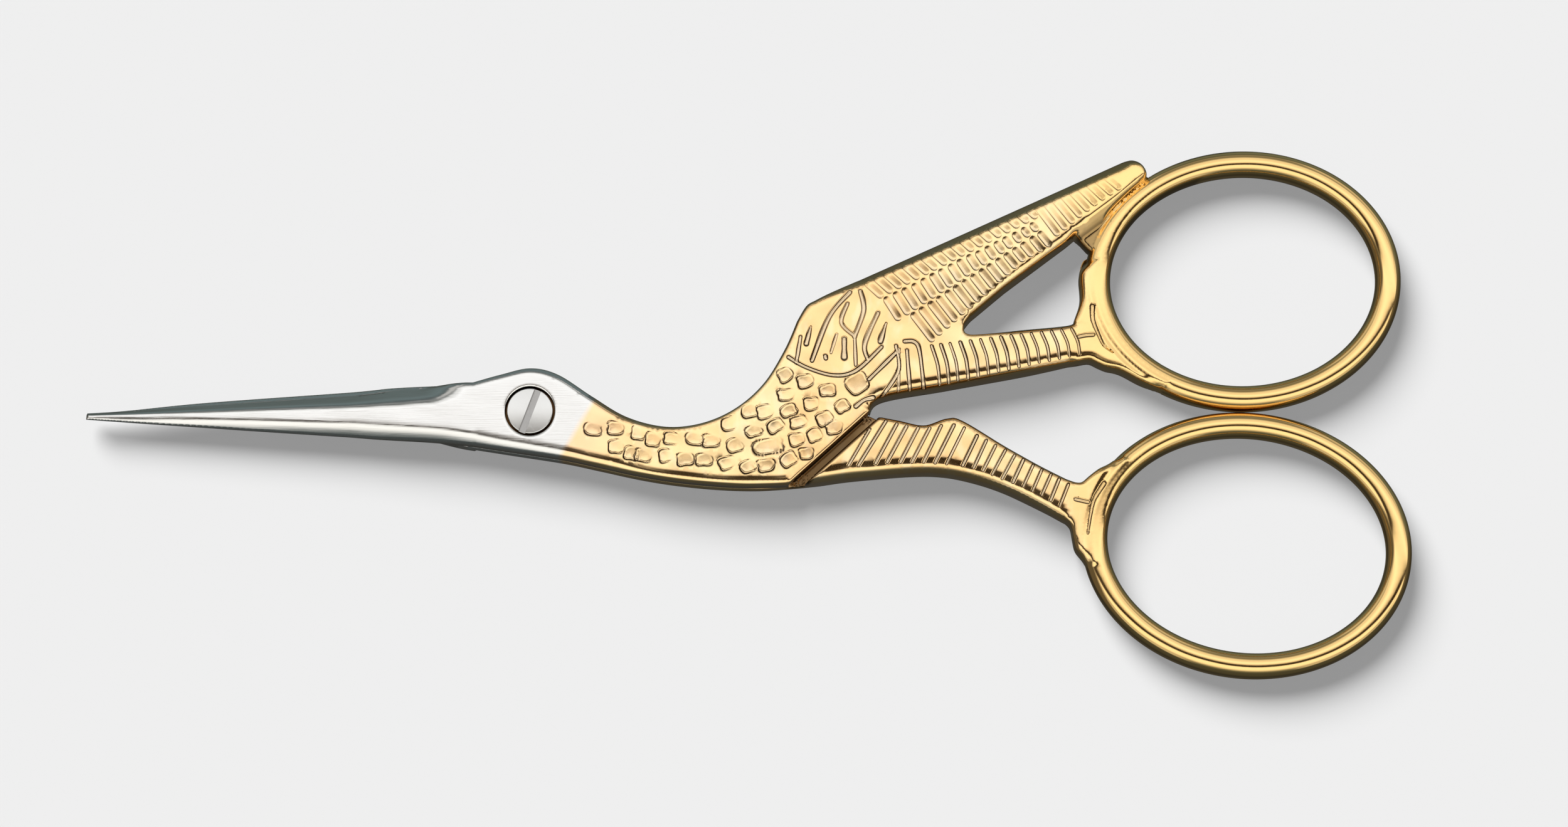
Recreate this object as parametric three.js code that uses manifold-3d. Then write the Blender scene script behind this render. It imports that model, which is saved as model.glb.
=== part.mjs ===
// Stork-pattern embroidery scissors, closed and lying on their back, in millimetres.
// The origin is on the pivot axis at the resting plane. The beak points along -X, the finger
// rings lie along +X, the front half's ring is on the +Y side and its decorated face looks up +Z.
// Each half is one forging. They lap at half thickness along the beak, head, neck and body, and
// are full thickness at the wing, legs and rings. A slotted screw through the eye is the pivot.

import * as THREE from "three";
import { mergeVertices } from "three/addons/utils/BufferGeometryUtils.js";
import Module from "manifold-3d";

const wasm = await Module();
wasm.setup();

// Lap joint
const halfThickness = 2;
const lapGap = 0.1;
const frontLap = halfThickness + lapGap / 2;
const rearLap = halfThickness - lapGap / 2;
const fullThickness = 2 * halfThickness;

// Soft edge of the forged outlines, across the face and down the side
const edgeWidth = 0.6;
const edgeDepth = 0.9;

// Blades: distances from the pivot axis, and heights of the closed beak's two sides
const bladeReach = 38.7;
const bladeRoot = 9.5;
const beakTopAtRoot = 2.5;
const beakTopAtTip = 0.17;
const beakBottomAtRoot = -2.5;
const beakBottomAtTip = -0.49;
const beakBow = 0.12;
const tipThickness = 0.5;

// Hollow-ground bevel behind each cutting edge, and the rounded back of the blade
const bevelWidthAtRoot = 1.6;
const bevelWidthAtTip = 0.17;
const bevelHollow = 0.12;
const backRoundAtRoot = 1.15;
const backRoundAtTip = 0.2;
const cuttingEdgeThickness = 0.04;

// How far each blade's back shows past the other blade's cutting edge
const overhangAtTip = 0.15;
const overhangWidest = 0.46;

// Pivot screw and its seat
const headDiameter = 4;
const headThickness = 0.9;
const headClearance = 0.18;
const seatGap = 0.05;
const shankDiameter = 2.6;
const shankClearance = 0.08;
const threadDiameter = 2.2;
const threadClearance = 0.05;
const slotWidth = 0.62;
const slotDepth = 0.4;
const slotAngle = 69.5;
const roundSides = 32;

// Head, neck and body: the outline that both halves share, from the beak towards the rings
const headStart = -5;
const headOverlap = 1.2;
const crownAndBack = [
  [headStart, 2.6],
  [-2.6, 3.3],
  [0, 3.88],
  [2.4, 3.32],
  [5.4, 1.37],
  [8.4, -0.43],
  [11.8, -1.31],
  [15, -0.98],
  [17.9, 0.34],
  [20.3, 2.5],
  [22.1, 5.45],
  [23.2, 8],
];
const throatAndBreast = [
  [headStart, -2.88],
  [-1.5, -3.42],
  [2.9, -4.1],
  [6, -4.76],
  [9.2, -5.47],
  [12.3, -6],
  [15.5, -6.35],
  [18.5, -6.53],
  [21, -6.5],
];

// Grooves where each half's thin body ends against the other half's thick leg
const frontGrooveLow = [22.45, -6.42];
const frontGrooveHigh = [29.5, 0];
const frontGrooveGap = 0.87;
const rearGrooveLow = [29.4, 0.35];
const rearGrooveHigh = [24.4, 9.53];
const rearGrooveGap = 0.5;

// Wing and upper leg of the front half; the leg's points are shares of its length, and heights
const shoulder = [[24, 9.35], [24.8, 9.87], [26.4, 10.7]];
const wingTopStart = [28.6, 11.72];
const wingTipRadius = 1.05;
const wingLowerStart = [0.631, 11];
const wingCrotch = [[0.464, 8.35], [0.438, 7.55], [0.467, 6.8]];
const upperLegTop = [[0.663, 7.15], [0.913, 7.7]];
const upperLegBottom = [[0.058, 1.25], [0.355, 2.28], [0.743, 3.62], [0.918, 4.3]];

// Lower leg of the rear half, as shares of its length and heights
const lowerLegStart = 24.8;
const lowerLegTop = [
  [0.23, -0.42],
  [0.312, -0.78],
  [0.408, -1.2],
  [0.495, -0.6],
  [0.555, -0.82],
  [0.72, -3.15],
  [0.842, -4.72],
  [0.946, -5.9],
];
const lowerLegBottom = [
  [0, -6.2],
  [0.139, -5.78],
  [0.356, -5.36],
  [0.486, -5.42],
  [0.607, -6],
  [0.725, -6.96],
  [0.859, -8.5],
  [0.928, -9.4],
];

// Finger rings: hole size, lean of the long axis in degrees, and the bar round the hole
const ringBand = 2.25;
const ringThickness = 2.8;
const ringGap = 0.08;
const ringContact = 0.2;
const upperRing = { nearLeg: 48.35, side: 1, holeLength: 23.2, holeWidth: 18.7, lean: 2.5 };
const lowerRing = { nearLeg: 47.85, side: -1, holeLength: 24.2, holeWidth: 18.8, lean: -6.4 };
const ringSteps = 56;
const barSides = 12;

// Wing tip, and knuckles where a leg meets its ring: angle round the ring, and stand-off from the bar
const wingTopEnd = [127.6, 2.27];
const wingLowerEnd = [128.6, -0.5];
const upperKnuckleBelow = [
  [207.6, 2.9],
  [209.1, 2],
  [211.9, 1.6],
  [214.7, 1.25],
  [219.1, 0.6],
  [228.3, 0.2],
  [238, 0],
];
const upperKnuckleAbove = [[173.6, 0.27], [185.6, 0.55], [193.6, 1.6]];
const lowerKnuckleAbove = [[163.9, 1.6], [162.9, 1.15], [159.5, 0.85], [155, 0.5], [151, 0.1], [144, 0]];
const lowerKnuckleBelow = [[199, 0], [194.5, 0.1], [190, 0.6], [186, 0.75], [180.8, 1], [178.8, 1.45]];

// Plating starts here on the neck
const goldStart = 4.4;
const steelColour = new THREE.Color(0.8, 0.79, 0.77);
const goldColour = new THREE.Color(0.95, 0.72, 0.38);
const curveStep = 1.1;

const vec = ([x, y]) => new THREE.Vector2(x, y);
const mix = (a, b, t) => a + (b - a) * t;

// Points along a smooth curve through the given ones
function smooth(points) {
  const curve = new THREE.SplineCurve(points.map(vec));
  return curve.getSpacedPoints(Math.ceil(curve.getLength() / curveStep));
}

function closedMesh(geometry) {
  const bare = geometry.clone();
  bare.deleteAttribute("normal");
  bare.deleteAttribute("uv");
  return mergeVertices(bare, 1e-4);
}

function solid(geometry) {
  const merged = closedMesh(geometry);
  const made = new wasm.Mesh({
    numProp: 3,
    vertProperties: merged.attributes.position.array,
    triVerts: new Uint32Array(merged.index.array),
  });
  return new wasm.Manifold(made);
}

// Outline forged through the full thickness, its edges softened on both faces
function forged(points) {
  const geometry = new THREE.ExtrudeGeometry(new THREE.Shape(points), {
    depth: fullThickness - 2 * edgeDepth,
    bevelSize: edgeWidth,
    bevelOffset: -edgeWidth,
    bevelThickness: edgeDepth,
    bevelSegments: 2,
  });
  return solid(geometry.translate(0, 0, edgeDepth));
}

// Straight-sided block over an outline
function block(points, low, high) {
  const shape = new THREE.Shape(points.map(vec));
  const geometry = new THREE.ExtrudeGeometry(shape, { depth: high - low, bevelEnabled: false });
  return solid(geometry.translate(0, 0, low));
}

function cylinder(diameter, low, high) {
  const round = new THREE.CylinderGeometry(diameter / 2, diameter / 2, high - low, roundSides);
  return solid(round.rotateX(Math.PI / 2).translate(0, 0, (low + high) / 2));
}

// Skin over sections of equal point count; an open row of sections gets end caps
function loft(sections, joined) {
  const count = sections[0].length;
  const rows = sections.length;
  const index = [];
  const last = joined ? rows : rows - 1;
  for (let row = 0; row < last; row++) {
    const next = (row + 1) % rows;
    for (let i = 0; i < count; i++) {
      const j = (i + 1) % count;
      const a = row * count + i;
      const b = row * count + j;
      const c = next * count + j;
      const d = next * count + i;
      index.push(a, b, c, a, c, d);
    }
  }
  if (!joined) {
    for (let i = 1; i < count - 1; i++) {
      index.push(0, i + 1, i);
      const base = (rows - 1) * count;
      index.push(base, base + i, base + i + 1);
    }
  }
  const geometry = new THREE.BufferGeometry();
  geometry.setAttribute("position", new THREE.Float32BufferAttribute(sections.flat(2), 3));
  geometry.setIndex(index);
  const made = solid(geometry);
  if (made.volume() > 0) return made;
  index.reverse();
  geometry.setIndex(index);
  return solid(geometry);
}

// Outer side of the closed beak: grown from tip to root, then run out into the head
function beakSide(atTip, atRoot, atHead, grown, runOut) {
  const bow = Math.sign(atRoot) * beakBow * 4 * grown * (1 - grown);
  return mix(mix(atTip, atRoot, grown) + bow, atHead, runOut);
}

// Section of a blade: cutting edge, hollow bevel, flat land, rounded back, flat inner face
function bladeSection(x, grown, runOut, towardsBack, frontFace) {
  const fade = (1 - runOut) ** 1.5;
  const top = beakSide(beakTopAtTip, beakTopAtRoot, crownAndBack[0][1], grown, runOut);
  const bottom = beakSide(beakBottomAtTip, beakBottomAtRoot, throatAndBreast[0][1], grown, runOut);
  const back = towardsBack < 0 ? bottom : top;
  const far = towardsBack < 0 ? top : bottom;
  const overhang = mix(overhangAtTip, overhangWidest, Math.sin((Math.PI * grown) / 1.6)) * fade;
  const edge = far + towardsBack * (overhang + edgeWidth * runOut);
  const bevel = mix(bevelWidthAtTip, bevelWidthAtRoot, grown) * fade;
  const round = mix(mix(backRoundAtTip, backRoundAtRoot, grown ** 0.7), edgeWidth, runOut);
  const lap = frontFace > 0 ? frontLap : rearLap;
  const thickness = mix(tipThickness, fullThickness - frontLap, grown);
  const ridge = edge + towardsBack * (bevel + 0.02);
  const height = (part) => lap + frontFace * thickness * part;
  const hollow = bevelHollow * fade * grown;
  return [
    [x, edge, lap],
    [x, edge, lap + frontFace * mix(thickness * 0.9, cuttingEdgeThickness, fade)],
    [x, mix(edge, ridge, 0.5), height(mix(0.97, 0.5, fade)) - frontFace * hollow],
    [x, ridge, height(1)],
    [x, back - towardsBack * round, height(1)],
    [x, back - towardsBack * round * 0.45, height(0.86)],
    [x, back - towardsBack * round * 0.1, height(0.55)],
    [x, back, height(0.25)],
    [x, back, lap],
  ];
}

function blade(towardsBack, frontFace) {
  const sections = [];
  for (const grown of [0, 0.12, 0.25, 0.4, 0.55, 0.7, 0.85, 1]) {
    const x = -mix(bladeReach, bladeRoot, grown);
    sections.push(bladeSection(x, grown, 0, towardsBack, frontFace));
  }
  for (const runOut of [0.25, 0.5, 0.75, 1]) {
    const x = mix(-bladeRoot, headStart, runOut);
    sections.push(bladeSection(x, 1, runOut, towardsBack, frontFace));
  }
  sections.push(bladeSection(headStart + headOverlap, 1, 1, towardsBack, frontFace));
  return loft(sections, false);
}

// Point near a ring's bar: an angle round it and a distance out from its outer edge
function ringPoint(ring, angle, standOff) {
  const turn = THREE.MathUtils.degToRad(angle);
  const long = ring.holeLength / 2 + ringBand + standOff;
  const short = ring.holeWidth / 2 + ringBand + standOff;
  const point = new THREE.Vector2(long * Math.cos(turn), short * Math.sin(turn));
  point.rotateAround(new THREE.Vector2(), THREE.MathUtils.degToRad(ring.lean));
  const middle = ringContact + ring.side * (ringGap / 2 + ringRise(ring));
  return point.add(new THREE.Vector2(ring.nearLeg + ringBand + ring.holeLength / 2, middle));
}

// How far a ring reaches above or below its centre
function ringRise(ring) {
  const lean = THREE.MathUtils.degToRad(ring.lean);
  const long = (ring.holeLength / 2 + ringBand) * Math.sin(lean);
  const short = (ring.holeWidth / 2 + ringBand) * Math.cos(lean);
  return Math.hypot(long, short);
}

// Bar of a finger ring, an oval section carried round the hole
function fingerRing(ring) {
  const sections = [];
  for (let step = 0; step < ringSteps; step++) {
    const angle = (360 * step) / ringSteps;
    const section = [];
    for (let side = 0; side < barSides; side++) {
      const turn = (2 * Math.PI * (side + 0.5)) / barSides;
      const out = (ringBand / 2) * (Math.cos(turn) - 1);
      const point = ringPoint(ring, angle, out);
      section.push([point.x, point.y, halfThickness + (ringThickness / 2) * Math.sin(turn)]);
    }
    sections.push(section);
  }
  return loft(sections, true);
}

const knuckle = (ring, rows) => rows.map(([angle, standOff]) => ringPoint(ring, angle, standOff));

// Points inside the bar that close a leg's outline against its ring
function insideBar(ring, from, to) {
  const points = [];
  for (const share of [0, 0.2, 0.4, 0.6, 0.8, 1]) {
    points.push(ringPoint(ring, mix(from, to, share), -ringBand * 0.55));
  }
  return points;
}

// Points along a leg, from where it starts to where its ring's bar begins
const alongLeg = (start, ring, rows) => rows.map(([share, y]) => [mix(start, ring.nearLeg, share), y]);

// Rounded end of the wing
function wingTip() {
  const start = ringPoint(upperRing, ...wingLowerEnd);
  const end = ringPoint(upperRing, ...wingTopEnd);
  const centre = start.clone().add(end).multiplyScalar(0.5);
  const reach = start.distanceTo(end) / 2;
  const first = start.clone().sub(centre).angle();
  const points = [];
  for (const share of [0.15, 0.32, 0.5, 0.68, 0.85]) {
    const turn = first + Math.PI * share;
    const outward = new THREE.Vector2(Math.cos(turn), Math.sin(turn));
    const bulge = mix(reach, wingTipRadius, Math.sin(Math.PI * share));
    points.push(outward.multiplyScalar(bulge).add(centre));
  }
  return [start, ...points, end];
}

function frontOutline() {
  const below = upperKnuckleBelow.at(-1)[0];
  const above = upperKnuckleAbove[0][0];
  const leg = (rows) => alongLeg(frontGrooveHigh[0], upperRing, rows);
  return [
    ...smooth([...throatAndBreast, frontGrooveLow]),
    vec(frontGrooveHigh),
    ...smooth(leg(upperLegBottom)),
    ...knuckle(upperRing, upperKnuckleBelow),
    ...insideBar(upperRing, below, above),
    ...knuckle(upperRing, upperKnuckleAbove),
    ...leg(upperLegTop).toReversed().map(vec),
    ...smooth(leg(wingCrotch).toReversed()),
    ...leg([wingLowerStart]).map(vec),
    ...wingTip(),
    vec(wingTopStart),
    ...smooth(shoulder.toReversed()),
    ...smooth(crownAndBack.toReversed()),
  ];
}

// Edge of a groove moved square to itself
function groove(low, high, gap) {
  const along = vec(high).sub(vec(low)).normalize();
  const move = new THREE.Vector2(along.y, -along.x).multiplyScalar(gap);
  return [vec(low).add(move), vec(high).add(move), along];
}

function rearOutline() {
  const below = lowerKnuckleBelow[0][0];
  const above = lowerKnuckleAbove.at(-1)[0];
  const [stepLow, stepHigh] = groove(rearGrooveHigh, rearGrooveLow, rearGrooveGap);
  const leg = (rows) => alongLeg(lowerLegStart, lowerRing, rows);
  return [
    ...smooth([...throatAndBreast, ...leg(lowerLegBottom)]),
    ...knuckle(lowerRing, lowerKnuckleBelow.toReversed()),
    ...insideBar(lowerRing, below, above),
    ...knuckle(lowerRing, lowerKnuckleAbove.toReversed()),
    ...smooth(leg(lowerLegTop).toReversed()),
    stepHigh,
    stepLow,
    ...smooth(crownAndBack.toReversed()),
  ];
}

// Everything on the beak's side of a groove, to cut one half down to its lap
function beyond(low, high, gap, from, to) {
  const [start, end, along] = groove(low, high, gap);
  const reach = 4 * bladeReach;
  const side = new THREE.Vector2(-along.y, along.x);
  const first = start.clone().addScaledVector(along, -reach);
  const second = end.clone().addScaledVector(along, reach);
  const third = second.clone().addScaledVector(side, reach);
  const fourth = first.clone().addScaledVector(side, reach);
  return block([first, second, third, fourth].map((p) => [p.x, p.y]), from, to);
}

function frontHalf() {
  const lap = beyond(rearGrooveLow, rearGrooveHigh, 0, -1, frontLap);
  const seat = fullThickness - headThickness - seatGap;
  return forged(frontOutline())
    .subtract(lap)
    .add(fingerRing(upperRing))
    .add(blade(-1, 1))
    .subtract(cylinder(headDiameter + 2 * headClearance, seat, fullThickness + 1))
    .subtract(cylinder(shankDiameter + 2 * shankClearance, 0, seat + 0.5));
}

function rearHalf() {
  const lap = beyond(frontGrooveLow, frontGrooveHigh, frontGrooveGap, rearLap, fullThickness + 1);
  return forged(rearOutline())
    .subtract(lap)
    .add(fingerRing(lowerRing))
    .add(blade(1, -1))
    .subtract(cylinder(threadDiameter + 2 * threadClearance, -1, fullThickness));
}

function pivotScrew() {
  const seat = fullThickness - headThickness;
  const slot = new THREE.BoxGeometry(2 * headDiameter, slotWidth, 2 * slotDepth);
  slot.rotateZ(THREE.MathUtils.degToRad(slotAngle)).translate(0, 0, fullThickness);
  return cylinder(headDiameter, seat, fullThickness)
    .add(cylinder(shankDiameter, halfThickness, seat + headThickness / 2))
    .add(cylinder(threadDiameter, 0, seat))
    .subtract(solid(slot));
}

function part(name, made, colourAt) {
  const { vertProperties, triVerts } = made.getMesh();
  const geometry = new THREE.BufferGeometry();
  geometry.setAttribute("position", new THREE.BufferAttribute(vertProperties, 3));
  geometry.setIndex(new THREE.BufferAttribute(triVerts, 1));
  const flat = geometry.toNonIndexed();
  const colours = [];
  for (let i = 0; i < flat.attributes.position.count; i++) {
    colours.push(...colourAt(flat.attributes.position.getX(i)).toArray());
  }
  flat.setAttribute("color", new THREE.Float32BufferAttribute(colours, 3));
  flat.computeVertexNormals();
  const material = new THREE.MeshStandardMaterial({
    vertexColors: true,
    roughness: 0.25,
    metalness: 1,
  });
  const mesh = new THREE.Mesh(flat, material);
  mesh.name = name;
  return mesh;
}

const plated = (x) => (x < goldStart ? steelColour : goldColour);
const scissors = new THREE.Group();
scissors.add(part("front_half", frontHalf(), plated));
scissors.add(part("rear_half", rearHalf(), plated));
scissors.add(part("pivot_screw", pivotScrew(), () => steelColour));

export default scissors;
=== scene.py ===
import math

import bpy
import numpy as np
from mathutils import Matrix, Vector, geometry, kdtree


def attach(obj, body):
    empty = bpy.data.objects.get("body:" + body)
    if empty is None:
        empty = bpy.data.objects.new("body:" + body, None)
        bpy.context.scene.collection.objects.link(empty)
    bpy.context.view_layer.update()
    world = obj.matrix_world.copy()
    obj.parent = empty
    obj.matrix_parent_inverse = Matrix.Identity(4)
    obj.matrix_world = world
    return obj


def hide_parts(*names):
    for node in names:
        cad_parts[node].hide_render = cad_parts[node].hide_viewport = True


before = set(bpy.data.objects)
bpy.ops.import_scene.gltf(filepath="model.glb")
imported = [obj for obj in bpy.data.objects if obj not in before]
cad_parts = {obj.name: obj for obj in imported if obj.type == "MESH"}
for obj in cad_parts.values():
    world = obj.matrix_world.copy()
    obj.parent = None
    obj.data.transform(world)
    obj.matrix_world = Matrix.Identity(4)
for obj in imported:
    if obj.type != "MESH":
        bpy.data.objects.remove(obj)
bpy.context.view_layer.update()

# Camera: a long lens about 45 cm above the table, 10 degrees off straight down, from the
# lower leg's side.
lens = bpy.data.cameras.new("camera")
lens.sensor_width = 36
lens.lens = 119.07
lens.clip_start = 0.01
camera = bpy.data.objects.new("camera", lens)
bpy.context.scene.collection.objects.link(camera)
camera.location = (0.02206, -0.07838, 0.44716)
camera.rotation_euler = (math.radians(10), 0, 0)
bpy.context.scene.camera = camera
bpy.context.scene.view_settings.view_transform = "Standard"


def blank_material(name):
    """A new material, its node tree and its shader."""
    material = bpy.data.materials.new(name)
    material.use_nodes = True
    return material, material.node_tree, material.node_tree.nodes["Principled BSDF"]


def fill(node, **inputs):
    """Sets or links the sockets of a node, by name or by number: i0 is the first."""
    for key, value in inputs.items():
        socket = node.inputs[int(key[1:]) if key[1:].isdigit() else key.replace("_", " ")]
        if isinstance(value, bpy.types.NodeSocket):
            node.id_data.links.new(value, socket)
        else:
            socket.default_value = value
    return node


# Table and light: a pale matt table, two long soft boxes overhead that leave a slit for the
# lens, dim surroundings lower down with a faint glow for views from the side, and a large key
# lamp at the upper left for the shadow.
bpy.ops.object.select_all(action="DESELECT")
bpy.ops.mesh.primitive_plane_add(size=6, location=(0, 0, -0.00005))
table = bpy.context.object
table.name = "table"
table.visible_glossy = False
paper, _, paper_shader = blank_material("pale_paper")
fill(paper_shader, Base_Color=(0.8, 0.8, 0.8, 1), Roughness=0.9, Specular_IOR_Level=0.1)
table.data.materials.append(paper)

bpy.ops.object.light_add(type="SUN", location=(-0.3, 0.3, 0.5))
key_lamp = bpy.context.object
key_lamp.name = "key_lamp"
key_lamp.data.energy = 3.2
key_lamp.data.angle = math.radians(38)
key_lamp.visible_glossy = False
key_lamp.rotation_euler = Vector((0.58, -0.85, -1)).to_track_quat("-Z", "Y").to_euler()


def joined(kind, operation=None, **inputs):
    """A new node in the tree of the sockets that feed it."""
    sockets = [value for value in inputs.values() if isinstance(value, bpy.types.NodeSocket)]
    node = sockets[0].id_data.nodes.new(kind)
    if operation:
        node.operation = operation
    return fill(node, **inputs)


def soft_range(value, low, high):
    """0 below low and 1 above high, with a soft change between."""
    node = joined("ShaderNodeMapRange", i0=value, i1=low, i2=high)
    node.interpolation_type = "SMOOTHSTEP"
    return node.outputs[0]


def times(a, b):
    return joined("ShaderNodeMath", "MULTIPLY", i0=a, i1=b).outputs[0]


def plus(a, b):
    return joined("ShaderNodeMath", "ADD", i0=a, i1=b).outputs[0]


def opposite(a):
    return joined("ShaderNodeMath", "SUBTRACT", i0=1.0, i1=a).outputs[0]


def band(value, low, full, still, high):
    """1 from full to still, falling softly to 0 at low and at high."""
    return times(soft_range(value, low, full), opposite(soft_range(value, still, high)))


def tinted(factor, a, b):
    """Mix of two colours or of two colour sockets."""
    node = factor.id_data.nodes.new("ShaderNodeMix")
    node.data_type = "RGBA"
    return fill(node, i0=factor, i6=a, i7=b).outputs[2]


studio = bpy.data.worlds.new("studio")
studio.use_nodes = True
bpy.context.scene.world = studio
room = studio.node_tree.nodes
direction = room.new("ShaderNodeTexCoord").outputs["Generated"]
right, rear, up = joined("ShaderNodeSeparateXYZ", i0=direction).outputs
across = joined("ShaderNodeMath", "ARCTAN2", i0=rear, i1=up).outputs[0]
round_room = joined("ShaderNodeMapRange", i0=across, i1=-math.pi, i2=math.pi)
sky = joined("ShaderNodeValToRGB", i0=round_room.outputs[0])
# Degrees from straight up over to the wing's side, and the colour of the light there
lights = [
    (-180, (0.05, 0.05, 0.045)), (-84, (0.07, 0.08, 0.078)), (-68, (0.15, 0.17, 0.16)),
    (-56, (0.6, 0.6, 0.56)), (-43, (1.22, 1.19, 1.1)), (-24, (1.35, 1.32, 1.24)),
    (-15.5, (1.1, 1.07, 1.0)), (-13, (0.03, 0.02, 0.01)), (-1.5, (0.03, 0.02, 0.01)),
    (1.5, (0.66, 0.62, 0.57)), (8, (1.18, 1.16, 1.13)), (13, (1.4, 1.4, 1.39)),
    (20, (1.16, 1.15, 1.13)), (28, (0.9, 0.89, 0.86)), (35, (1.02, 1.02, 1.0)),
    (43, (0.46, 0.46, 0.44)), (54, (0.16, 0.17, 0.16)), (68, (0.3, 0.31, 0.3)),
    (82, (0.1, 0.12, 0.12)), (104, (0.17, 0.22, 0.22)), (130, (0.1, 0.12, 0.11)),
    (180, (0.05, 0.045, 0.035)),
]
stops = sky.color_ramp.elements
for angle, _ in lights[1:-1]:
    stops.new((angle + 180) / 360)
for stop, (angle, colour) in zip(stops, lights):
    stop.position = (angle + 180) / 360
    stop.color = (*colour, 1)
boxes_run = band(right, -0.86, -0.68, 0.93, 0.99)
glow = tinted(boxes_run, (0.12, 0.11, 0.09, 1), sky.outputs[0])
sideways = joined("ShaderNodeMath", "ABSOLUTE", i0=right).outputs[0]
corner = band(sideways, 0.25, 0.4, 0.8, 0.9)
low_wall = band(up, 0.12, 0.22, 0.48, 0.58)
glow = tinted(times(corner, low_wall), glow, (0.62, 0.61, 0.58, 1))
ray = room.new("ShaderNodeLightPath").outputs
glow = tinted(ray["Is Diffuse Ray"], glow, (0.36, 0.36, 0.36, 1))
fill(room["Background"], Color=tinted(ray["Is Camera Ray"], glow, (0.86, 0.86, 0.86, 1)))

# Front half: one forging of carbon steel. Its blade is hollow ground and polished, the head is
# brushed round the screw, and from the neck back it is plated gold over punched feathers.


def smooth_step(share):
    share = np.clip(share, 0, 1)
    return share * share * (3 - 2 * share)


def spaced(line, step):
    """The same line with evenly spaced points."""
    run = np.r_[0, np.cumsum(np.hypot(*np.diff(line[:, :2], axis=0).T))]
    at = np.linspace(0, run[-1], max(2, int(round(run[-1] / step)) + 1))
    return np.column_stack([np.interp(at, run, column) for column in line.T])


def through(points, step=0.22):
    """Smooth line through the given points."""
    p = np.array(points, float)
    ends = np.vstack([p[:1], p, p[-1:]])
    share = np.linspace(0, 1, 30, endpoint=False)[:, None]
    line = []
    for a, b, c, d in zip(ends, ends[1:], ends[2:], ends[3:]):
        bend = (2 * a - 5 * b + 4 * c - d) * share**2 + (3 * b - a - 3 * c + d) * share**3
        line.append(0.5 * (2 * b + (c - a) * share + bend))
    return spaced(np.vstack([*line, p[-1:]]), step)


def straight(points, step=0.22):
    p = np.array(points, float)
    parts = [spaced(p[i:i + 2], step)[:-1] for i in range(len(p) - 1)]
    return np.vstack([*parts, p[-1:]])


def edged(line, reach, fall, corner, bevel=0, facet=0):
    """A stretch of outline and its edge: the round's reach and fall, corner, bevel and facet."""
    share = np.linspace(0, 1, len(line))
    spread = [np.interp(share, np.linspace(0, 1, np.size(size)), np.ravel(size))
              for size in (reach, fall, corner, bevel, facet)]
    return np.column_stack([line, *spread])


def closed(stretches):
    """One closed outline from stretches that follow each other."""
    line = np.vstack(stretches)
    gap = np.hypot(*(line[:, :2] - np.roll(line[:, :2], 1, axis=0)).T)
    return line[gap > 0.01]


def heading(low, high):
    """Unit steps along the line from low to high, and square to it on its ring side."""
    along = np.subtract(high, low) / np.linalg.norm(np.subtract(high, low))
    return along, np.array([along[1], -along[0]])


def beyond(xy, low, high):
    """How far points lie on the ring side of the line from low to high."""
    _, aside = heading(low, high)
    return (xy[:, 0] - low[0]) * aside[0] + (xy[:, 1] - low[1]) * aside[1]


def moved(low, high, gap):
    """A groove's line moved square to itself."""
    aside = heading(low, high)[1] * gap
    return low + aside, high + aside


def split_by(outline, low, high):
    """The outline with two close points where the line from low to high crosses it."""
    side = beyond(outline, low, high)
    rows = []
    for i, row in enumerate(outline):
        rows.append(row)
        a, b = side[i], side[(i + 1) % len(side)]
        if a * b < 0:
            following = outline[(i + 1) % len(side)]
            length = np.hypot(*(following - row)[:2])
            for nudge in (-0.02, 0.02):
                share = np.clip(a / (a - b) + nudge / length, 0.02, 0.98)
                rows.append(row + (following - row) * share)
    return np.array(rows)


def inside(xy, line):
    """Which points lie inside a closed outline."""
    x1, y1 = line[:, 0], line[:, 1]
    x2, y2 = np.roll(x1, -1), np.roll(y1, -1)
    slope = (x2 - x1) / np.where(y2 == y1, 1e-12, y2 - y1)
    found = np.zeros(len(xy), bool)
    for part in np.array_split(np.arange(len(xy)), len(xy) // 1500 + 1):
        x, y = xy[part, 0, None], xy[part, 1, None]
        crossed = ((y1 > y) != (y2 > y)) & (x < x1 + slope * (y - y1))
        found[part] = crossed.sum(1) % 2 == 1
    return found


def nearest_step(xy, start, step):
    """Distance to the nearest step of a line, its number, and the share of it passed there."""
    away, number, passed = np.empty(len(xy)), np.empty(len(xy), int), np.empty(len(xy))
    length = (step**2).sum(1)
    for part in np.array_split(np.arange(len(xy)), len(xy) // 1000 + 1):
        dx, dy = xy[part, 0, None] - start[:, 0], xy[part, 1, None] - start[:, 1]
        share = np.clip((dx * step[:, 0] + dy * step[:, 1]) / length, 0, 1)
        gap = (dx - share * step[:, 0]) ** 2 + (dy - share * step[:, 1]) ** 2
        number[part] = nearest = gap.argmin(1)
        row = np.arange(len(part))
        away[part], passed[part] = np.sqrt(gap[row, nearest]), share[row, nearest]
    return away, number, passed


def from_outline(xy, outline):
    """Distance to the outline, and the edge numbers of its nearest stretch."""
    step = np.roll(outline, -1, axis=0) - outline
    away, nearest, share = nearest_step(xy, outline[:, :2], step[:, :2])
    return away, outline[nearest, 2:] + step[nearest, 2:] * share[:, None]


def edge_drop(away, edge):
    """How far a face has fallen at a distance from its outline: round, facet, bevel, corner."""
    reach, fall, corner, bevel, facet = edge.T
    facet_slope, bevel_slope, softness = 0.14, 1.3, 0.08
    drop = fall * np.clip(reach - away, 0, None) ** 2
    drop = drop + facet_slope * np.clip(reach + facet - away, 0, 1.3 * facet)
    inwards = np.where(bevel > 0, bevel - away, -9)
    drop = drop + bevel_slope * (inwards + np.hypot(inwards, softness)) / 2
    within = np.clip(corner - away, 0, None)
    return drop + corner - np.sqrt(np.clip(corner**2 - within**2, 0, None))


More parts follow.
